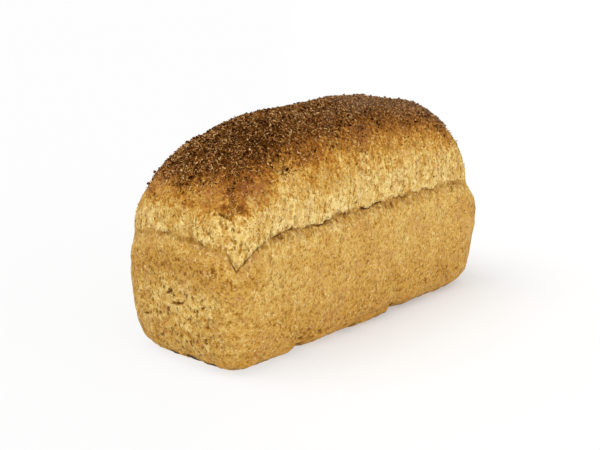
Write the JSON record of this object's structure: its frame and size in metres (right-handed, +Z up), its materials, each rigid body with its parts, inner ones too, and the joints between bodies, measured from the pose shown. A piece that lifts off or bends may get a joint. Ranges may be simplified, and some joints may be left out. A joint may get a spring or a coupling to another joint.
{
  "type": "whole wheat bread loaf",
  "caption": "Whole wheat tin loaf with straight baked walls, a crease where the dough rose over the tin's rim, and a domed crown strewn with bran flakes.",
  "frame": {"origin": "middle of the flat base, at the level of the surface that the loaf stands on", "axes": "+X along the loaf's length, +Y across it, +Z up to the crown"},
  "size_m": [0.2757, 0.1062, 0.1503],
  "materials": {
    "crust": "matte baked crust",
    "bran": "dry matte flakes"
  },
  "bodies": {
    "root": {"loaf": "crust"}
  },
  "joints": []
}
